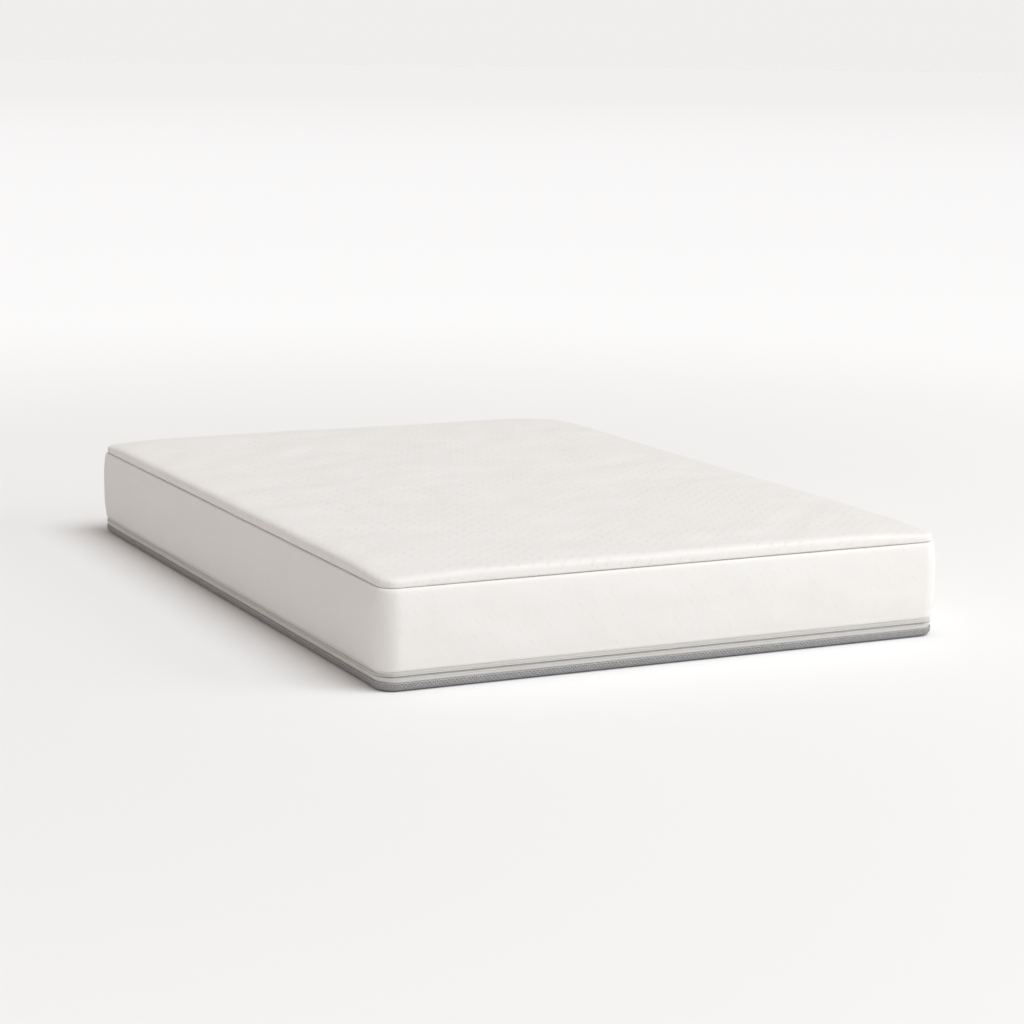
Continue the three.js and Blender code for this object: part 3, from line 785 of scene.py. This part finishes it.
def band(name, outline, section, material, slot, replaces):
    """A closed ring round the plan with a section of (depth, height) points, in metres."""
    depth, height = np.array(section).T
    runs = outline.stations(*BAND_STEPS)
    net = outline.sweep(depth, height, runs)
    walks = walk_along(np.array(section))
    places = np.stack(np.meshgrid(np.append(runs, outline.length), walks), axis=-1)
    skin = Skin()
    skin.add(net, places, closed=(True, True))
    return skin.make(name, material, slot, replaces=replaces)


def border_filling(fibres):
    """The wadding that swells the border."""
    profile = border_profile()
    depth, height = profile.at(np.linspace(0, profile.walk[-1], 60))
    inside = (height > BORDER_FOOT + 9 * MM) & (height < BORDER_TOP - 5 * MM)
    outer = np.stack([depth[inside] + KNIT_THICKNESS + FILLING_SPACE, height[inside]], -1)
    top, foot = outer[0, 1], outer[-1, 1]
    back = [(FILLING_BACK, foot), (FILLING_BACK, (top + foot) / 2), (FILLING_BACK, top)]
    section = np.concatenate([outer, back])
    piece = band("border_filling", Outline(CLOSING_SEAM_X), section, fibres, "wadding", ["border_wadding"])
    return piece


# ---- Blocks: closed forms over the whole plan ----


def pillow(name, upper, lower, base, edge_step, flat_step, material, slot, replaces, sag=0.0):
    """A closed form of two halves that meet at the height base, each with its own profile."""
    skin = Skin()
    for points, facing in ((upper, 1), (lower, -1)):
        soft = sag if facing > 0 else 0.0
        panel = Panel(Profile(points), edge_step, flat_step, base=base, facing=facing, sag=soft)
        skin.add(panel.points, panel.places)
    return skin.make(name, material, slot, replaces=replaces)


def block(name, node, edge_radius, material, slot):
    """A flat block with softly rounded edges, where a CAD node is."""
    low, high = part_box(node)
    depth = (WIDTH / 2 - high.x) / MM
    half, radius = (high.z - low.z) / 2 / MM, edge_radius / MM
    turns = [math.radians(angle) for angle in (0, 22.5, 45, 67.5, 90)]
    arc = [(depth + radius * (1 - math.cos(a)), half - radius * (1 - math.sin(a))) for a in turns]
    profile = [(depth, 0), (depth, (half - radius) / 2), *arc, (50, half), (1000, half)]
    return pillow(name, profile, profile, (low.z + high.z) / 2, 4 * MM, 100 * MM, material, slot, [node])


FILLING_GAP = 3.9 * MM  # from the knit's outer face to the filling
FILLING_EDGE = 5 * MM  # where the filling's two halves meet, above the panel's edge
TOP_FILLING_LOWER = [(17.2, 0), (17.8, 1.4), (19, 2.6), (21, 3.4), (24, 3.7), (50, 3.7), (1000, 3.7)]


def top_filling(fibres):
    """The fibre filling that follows the knit from inside."""
    face = Profile(TOP_PROFILE)
    along = np.gradient(np.stack([face.depth, face.height], -1), axis=0)
    along /= np.linalg.norm(along, axis=-1, keepdims=True)
    inside = np.stack([face.depth + FILLING_GAP * along[:, 1], face.height - FILLING_GAP * along[:, 0]], -1)
    rising = inside[(inside[:, 1] > FILLING_EDGE + 2.5 * MM) & (face.height > FILLING_EDGE)]
    upper = np.concatenate([[[TOP_FILLING_LOWER[0][0], 0], [14.6, 0.9]], (rising - (0, FILLING_EDGE)) / MM])
    piece = pillow("top_panel_filling", upper, TOP_FILLING_LOWER, PANEL_EDGE + FILLING_EDGE,
                   5 * MM, 25 * MM, fibres, "wadding", ["top_panel_wadding"], sag=CORNER_SAG)
    return piece


def lining(bonded):
    """The thin fabric that closes the quilted top panel below."""
    piece = block("top_panel_lining", "top_panel_backing", 0.4 * MM, bonded, "backing")
    return piece


SOCK_THICKNESS = 1.4 * MM
SOCK_DEPTH = WIDTH / 2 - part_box("fire_sock")[1].x
SOCK_PROFILE = [  # from the hem under the core, up the side and over the top; depths from its side
    (115, 1.8), (70, 1.8), (20, 1.8), (9.8, 1.8), (5, 3.1), (1.4, 6.6), (0, 12), (0, 110), (0, 212),
    (0.3, 216.5), (1.6, 219), (4.5, 220.2), (9, 220.4), (40, 220.4), (1000, 220.4),
]


def sock(ribs):
    """The thin knitted tube round the foam, its hem turned under the core. It is cut without the
    flat rectangle's four corners."""
    profile = Profile([(SOCK_DEPTH / MM + depth, height) for depth, height in SOCK_PROFILE])
    panel = Panel(profile, 8 * MM, 50 * MM)
    piece = panel_shell("fire_sock_cover", panel, panel.points, SOCK_THICKNESS, material=ribs,
                        slot="sock_knit", replaces=["fire_sock"])
    return piece


# ---- Rows of stitches and teeth ----

SECTION_SIDES = 6


def bars(skin, outline, runs, spine, halves, axes):
    """Adds a row of small bars round the outline. The spine is one bar's middle line as (along,
    depth, height) points, and halves are its section's half widths along the two axes."""
    turns_about, outward = outline.frames(runs)
    ahead = np.stack([-outward[:, 1], outward[:, 0]], axis=-1)
    angles = np.arange(SECTION_SIDES) * math.tau / SECTION_SIDES
    round_it = np.stack([np.cos(angles), np.sin(angles)], axis=-1)
    spine, halves, axes = np.array(spine, float), np.array(halves, float), np.array(axes, float)
    local = spine[:, None] + np.einsum("sk,mk,kc->msc", round_it, halves, axes)
    along, depth, height = np.moveaxis(local, -1, 0)
    radius = (CORNER_RADIUS - depth)[None, ..., None]
    turns_about, outward, ahead = (values[:, None, None] for values in (turns_about, outward, ahead))
    plan = turns_about + radius * outward + along[None, ..., None] * ahead
    heights = np.broadcast_to(height[None, ..., None], plan.shape[:-1] + (1,))
    points = np.concatenate([plan, heights], axis=-1)
    rings = np.arange(len(spine) * SECTION_SIDES).reshape(len(spine), SECTION_SIDES)
    after = np.roll(rings, -1, axis=1)
    sides = np.stack([rings[:-1], after[:-1], after[1:], rings[1:]], axis=-1).reshape(-1, 4)
    ends = np.stack([rings[0], rings[-1, ::-1]])
    starts = skin.count + np.arange(len(runs))[:, None, None] * rings.size
    place = np.stack([runs[:, None, None] + along, np.broadcast_to(height, points.shape[:-1])], -1)
    place = place.reshape(-1, 2)
    for block_of_faces in (sides, ends):
        faces = (starts + block_of_faces).reshape(-1, block_of_faces.shape[1])
        skin.faces.append(faces)
        skin.corner_places.append(place[faces.ravel() - skin.count])
    skin.points.append(points.reshape(-1, 3))
    skin.count += points.size // 3


STITCH_PITCH, STITCH_LENGTH, THREAD_RADIUS = 5 * MM, 4.2 * MM, 0.45 * MM
ALONG, INWARD, UP = (1, 0, 0), (0, 1, 0), (0, 0, 1)


def stitches(name, depth, height, dip, thread, replaces):
    """A row of stitches all round: each arches out of the cloth and dips back in at its ends."""
    outline, skin = Outline(CLOSING_SEAM_X), Skin()
    count = round(outline.length / STITCH_PITCH)
    runs = (np.arange(count) + 0.5) * outline.length / count
    arch = [(-0.5, 1.0), (-0.42, 0.35), (-0.25, 0.05), (0, 0.0), (0.25, 0.05), (0.42, 0.35), (0.5, 1.0)]
    spine = [(share * STITCH_LENGTH, depth + sunk * dip, height) for share, sunk in arch]
    thick = [(THREAD_RADIUS * (1 - 0.35 * sunk),) * 2 for _, sunk in arch]
    bars(skin, outline, runs, spine, thick, (INWARD, UP))
    return skin.make(name, thread, "thread", replaces=[replaces])


# ---- Zip ----

TOOTH_PITCH = 2.6 * MM
TOOTH_HALF_WIDTH = 0.62 * MM
TAPE_THICKNESS, TAPE_ROUNDING = 1 * MM, 0.3 * MM
TAPE_GAP = 0.3 * MM  # between a row of teeth and its tape
HEM_FACE, BOTTOM_FACE = 4.4 * MM, 5.7 * MM  # depth of the cloth's outer face along each row
HEM_ROW, BOTTOM_ROW = 4 * MM, 2 * MM  # from each cloth's edge to its row of stitches
CORD = 0.14, 0.13, 0.9  # its place, height and depth, as shares of a tooth
CAST_ROUNDING = 0.22 * MM


def zip_row(name, node, root, tip, phase, nylon):
    """One row of the chain: teeth with rounded heads on a cord, from one end stop to the other."""
    start_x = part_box("zip_top_stop_upper")[0].x
    outline, skin = Outline(start_x), Skin()
    reach = outline.length - (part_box("zip_bottom_stop")[1].x - start_x)
    back = TAPE_DEPTH - TAPE_GAP
    front = WIDTH / 2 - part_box(node)[1].x
    middle, half = (front + back) / 2, (back - front) / 2
    runs = np.arange(TOOTH_PITCH * phase, reach, TOOTH_PITCH)
    shares = [(0, 0.8, 0.8), (0.3, 0.8, 1), (0.62, 0.8, 1), (0.8, 1, 1), (0.94, 0.95, 0.8), (1, 0.5, 0.4)]
    spine = [(0, middle, root + (tip - root) * share) for share, _, _ in shares]
    halves = [(TOOTH_HALF_WIDTH * wide, half * thick) for _, wide, thick in shares]
    bars(skin, outline, runs, spine, halves, (ALONG, INWARD))
    place, high, deep = CORD
    cord_height = root + (tip - root) * place
    cord = np.array([(-1, -1), (1, -1), (1, 1), (-1, 1)]) * (half * deep, abs(tip - root) * high)
    cord_runs = np.append(outline.stations(*BAND_STEPS), reach)
    cord_runs = np.sort(cord_runs[cord_runs <= reach])
    net = outline.sweep(cord[:, 0] + middle, cord[:, 1] + cord_height, cord_runs)
    places = np.stack(np.meshgrid(cord_runs, walk_along(cord)), axis=-1)
    index = skin.add(net, places, closed=(True, False))
    skin.faces.append(np.stack([index[:, 0], index[:, -1]]))
    skin.corner_places.append(np.zeros((8, 2)))
    return skin.make(name, nylon, "zip_coil", replaces=[node])


def tape(name, node, woven):
    """A woven zip tape, with its edges slightly rounded."""
    low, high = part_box(node)
    front = WIDTH / 2 - high.x
    thick, rounding = TAPE_THICKNESS, TAPE_ROUNDING
    heights = low.z, low.z + rounding, high.z - rounding, high.z
    out = list(zip((front + rounding, front, front, front + rounding), heights))
    back = [(2 * front + thick - depth, height) for depth, height in reversed(out)]
    outline = Outline(CLOSING_SEAM_X)
    piece = band(name, outline, out + back, woven, "zip_tape", [node])
    return piece


def zip_pieces(woven, nylon, thread, metal):
    tape("zip_tape_above", "zip_upper_tape", woven)
    tape("zip_tape_below", "zip_lower_tape", woven)
    above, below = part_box("zip_upper_coil"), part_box("zip_lower_coil")
    zip_row("zip_teeth_above", "zip_upper_coil", above[1].z, above[0].z, 0.5, nylon)
    zip_row("zip_teeth_below", "zip_lower_coil", below[0].z, below[1].z, 1.0, nylon)
    hem = BORDER_FOOT + HEM_ROW
    stitches("border_hem_stitches", HEM_FACE, hem, TAPE_DEPTH - HEM_FACE, thread, "zip_upper_thread")
    edge = BOTTOM_EDGE - BOTTOM_ROW
    stitches("bottom_hem_stitches", BOTTOM_FACE, edge, TAPE_DEPTH - BOTTOM_FACE, thread, "zip_lower_thread")
    for node in ("zip_top_stop_upper", "zip_top_stop_lower", "zip_bottom_stop", "zip_slider", "zip_pull"):
        soften_edges(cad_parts[node], metal)


def soften_edges(part, metal):
    """A cast part's edges are rounded and it gets its plated finish."""
    weld = part.modifiers.new("weld", "WELD")
    weld.merge_threshold = 0.01 * MM
    bevel = part.modifiers.new("bevel", "BEVEL")
    bevel.width, bevel.segments, bevel.limit_method = CAST_ROUNDING, 3, "ANGLE"
    bevel.angle_limit = math.radians(30)
    bevel.harden_normals = True
    part.data.materials.clear()
    part.data.materials.append(metal)


# ---- Camera, light and floor ----

SEAM_INSET = 15 * MM  # depth of the seam that the view is set by
CAMERA_PLACE = -1.454, -3.456, 0.801  # from the seam's near left corner, in widths of the seam
CAMERA_TURN = 25.74, 10.30, 0.65  # degrees to the right, down and about the line of sight
CAMERA_LENS, CAMERA_SENSOR = 89.4, 36
FAR_GLOW, FAR_DIM = 0.175, 0.075  # the floor brightens behind the mattress and dims again to the backdrop
GLOW_NEAR, GLOW_FAR, DIM_NEAR, DIM_FAR = 1.6, 6.5, 12.0, 70.0  # distances where each starts and ends
FILL = (1.0, 0.895, 0.835, 1), 0.45
BACKDROP = (0.874, 0.859, 0.853, 1), 1.0
FLOOR_SIZE = 600


def camera():
    """Looks down at the foot end from its left corner, as at the photograph's viewing angle."""
    seam_width = WIDTH - 2 * SEAM_INSET
    corner = Vector((-seam_width / 2, SEAM_INSET - LENGTH / 2, SEAM))
    yaw, pitch, roll = (math.radians(angle) for angle in CAMERA_TURN)
    ahead = Vector((math.sin(yaw) * math.cos(pitch), math.cos(yaw) * math.cos(pitch), -math.sin(pitch)))
    right = Vector((math.cos(yaw), -math.sin(yaw), 0))
    up = right.cross(ahead)
    turned = right * math.cos(roll) + up * math.sin(roll), up * math.cos(roll) - right * math.sin(roll)
    made = bpy.data.objects.new("camera", bpy.data.cameras.new("camera"))
    bpy.context.scene.collection.objects.link(made)
    place = Matrix((*turned, -ahead)).transposed().to_4x4()
    place.translation = corner + Vector(CAMERA_PLACE) * seam_width
    made.matrix_world = place
    made.data.lens, made.data.sensor_width = CAMERA_LENS, CAMERA_SENSOR
    made.data.clip_end = 200
    bpy.context.scene.camera = made


def studio():
    """A pale endless floor, a warm even surround, and a broad key and soft lamp at the foot end."""
    scene = bpy.context.scene
    scene.view_settings.view_transform = "Standard"
    bpy.ops.mesh.primitive_plane_add(size=FLOOR_SIZE, location=(0, 0, -0.5 * MM))
    floor = bpy.context.object
    floor.name = "floor"
    glow = 0.91, 0.95, 1, 1
    paper = Finish("floor_paper", Roughness=0.95, Specular_IOR_Level=0.05, Emission_Color=glow)
    grain = paper.noise(2.0, 4.0)
    paper.colour((0.885, 0.882, 0.88), (paper.times(grain, 0.15), (0.865, 0.862, 0.86)))
    away = paper.node("VectorMath", {0: paper.solid()}, operation="LENGTH").outputs["Value"]
    lit = paper.between(away, GLOW_NEAR, GLOW_FAR, 0.02, FAR_GLOW)
    dim = paper.between(away, DIM_NEAR, DIM_FAR, 0.0, FAR_DIM)
    paper.feed(paper.surface.inputs["Emission Strength"], paper.minus(lit, dim))
    floor.data.materials.append(paper.material)
    world = bpy.data.worlds.new("surround")
    scene.world = world
    world.use_nodes = True
    nodes, links = world.node_tree.nodes, world.node_tree.links
    nodes.clear()
    fill, seen = nodes.new("ShaderNodeBackground"), nodes.new("ShaderNodeBackground")
    fill.inputs["Color"].default_value, fill.inputs["Strength"].default_value = FILL
    seen.inputs["Color"].default_value, seen.inputs["Strength"].default_value = BACKDROP
    mix, rays = nodes.new("ShaderNodeMixShader"), nodes.new("ShaderNodeLightPath")
    links.new(rays.outputs["Is Camera Ray"], mix.inputs["Fac"])
    links.new(fill.outputs[0], mix.inputs[1])
    links.new(seen.outputs[0], mix.inputs[2])
    links.new(mix.outputs[0], nodes.new("ShaderNodeOutputWorld").inputs["Surface"])
    lamp("key", "SUN", 1.8, (0.91, 0.975, 1.01), place=(0.35, -0.43, 1.0)).angle = math.radians(40)
    lamp("side", "AREA", 90, (1.0, 0.99, 0.97), place=(4.5, -4.0, 3.0)).size = 3


def lamp(name, kind, energy, colour, place):
    """A lamp at a place, or for a sun in its direction, that points at the mattress."""
    light = bpy.data.lights.new(name, kind)
    light.energy, light.color = energy, colour
    holder = bpy.data.objects.new(name, light)
    bpy.context.scene.collection.objects.link(holder)
    holder.location = place
    holder.rotation_mode = "QUATERNION"
    holder.rotation_quaternion = Vector(place).to_track_quat("Z", "Y")
    return light


# ---- The mattress ----

camera()
studio()

top_knit = knit_finish("top_knit", figure=2.0)
border_knit = knit_finish("border_knit", figure=0.6)
fibres = fibre_finish()
bonded = bonded_finish("bonded_lining", (0.86, 0.86, 0.85), (0.76, 0.76, 0.75), 3 * MM)
thread = thread_finish()

top_cover(top_knit)
top_filling(fibres)
lining(bonded)
border_cover(border_knit)
border_filling(fibres)
stitches("top_seam_stitches", SEAM_STITCH_DEPTH, SEAM, SEAM_STITCH_DIP, thread, "top_seam_thread")
bottom_cover(grip_finish())
zip_pieces(tape_finish(), nylon_finish(), thread, metal_finish())

sock(sock_finish())
layers = (
    ("memory_foam", "memory_foam_layer", (0.88, 0.84, 0.70), (0.78, 0.73, 0.58), 0.7 * MM),
    ("transition_foam", "transition_foam_layer", (0.76, 0.81, 0.83), (0.62, 0.68, 0.71), 1.0 * MM),
    ("support_foam", "support_foam_core", (0.62, 0.68, 0.74), (0.48, 0.55, 0.62), 1.3 * MM),
)
for name, node, base, shade, cell in layers:
    block(name, node, 2 * MM, foam_finish(name, base, shade, cell), name)
